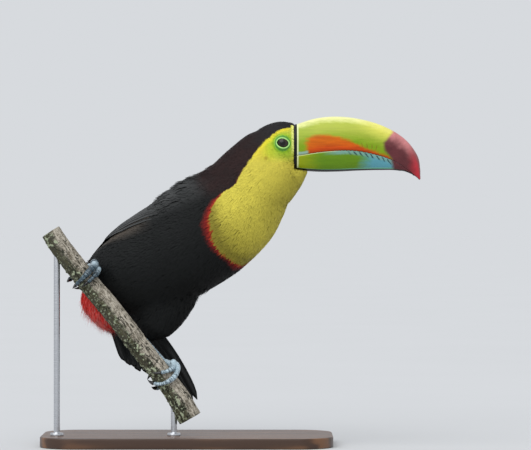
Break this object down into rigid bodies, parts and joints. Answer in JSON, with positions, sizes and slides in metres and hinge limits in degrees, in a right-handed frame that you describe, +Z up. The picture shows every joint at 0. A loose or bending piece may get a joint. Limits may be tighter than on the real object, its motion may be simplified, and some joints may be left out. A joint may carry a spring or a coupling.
{
  "type": "keel-billed toucan",
  "caption": "Still, life-size keel-billed toucan clinging to a short cut length of branch held by rods on a plain display stand, leaning up with its bill in profile.",
  "frame": {"origin": "middle of the underside of the stand's base", "axes": "+X the way the bill points, +Z up, -Y the side the bird shows"},
  "size_m": [0.4295, 0.1504, 0.3721],
  "materials": {
    "base_wood": "satin dark stained",
    "rod_steel": "brushed",
    "bark": "rough bark with lichen",
    "bill_upper": "semi-gloss horn, lime with an orange blaze and a maroon tip",
    "bill_lower": "semi-gloss horn, green to light blue with a maroon tip",
    "yellow_feathers": "soft feathers, yellow with a black crown and a maroon nape",
    "black_feathers": "sleek black feathers",
    "red_feathers": "loose red feathers",
    "white_feathers": "soft white feathers",
    "eye": "glossy dark eye",
    "leg_skin": "pale blue-grey scaled skin",
    "claw": "dark semi-gloss horn"
  },
  "bodies": {
    "root": {"stand_base": "base_wood", "stand_rod_high": "rod_steel", "stand_rod_low": "rod_steel", "perch": "bark", "bill_upper": "bill_upper", "bill_lower": "bill_lower", "head": "yellow_feathers", "neck": "yellow_feathers", "trunk": "black_feathers", "rump": "black_feathers", "eye_right": "eye", "eye_left": "eye", "tail": "black_feathers", "tail_coverts_under": "red_feathers", "tail_coverts_upper": "white_feathers", "wing_right": "black_feathers", "wing_left": "black_feathers", "thigh_right": "black_feathers", "thigh_left": "black_feathers", "tarsus_right": "leg_skin", "tarsus_left": "leg_skin", "foot_right": "leg_skin", "foot_left": "leg_skin", "claw_right_front_outer": "claw", "claw_right_front_inner": "claw", "claw_right_hind_outer": "claw", "claw_right_hind_inner": "claw", "claw_left_front_outer": "claw", "claw_left_front_inner": "claw", "claw_left_hind_outer": "claw", "claw_left_hind_inner": "claw"}
  },
  "joints": []
}
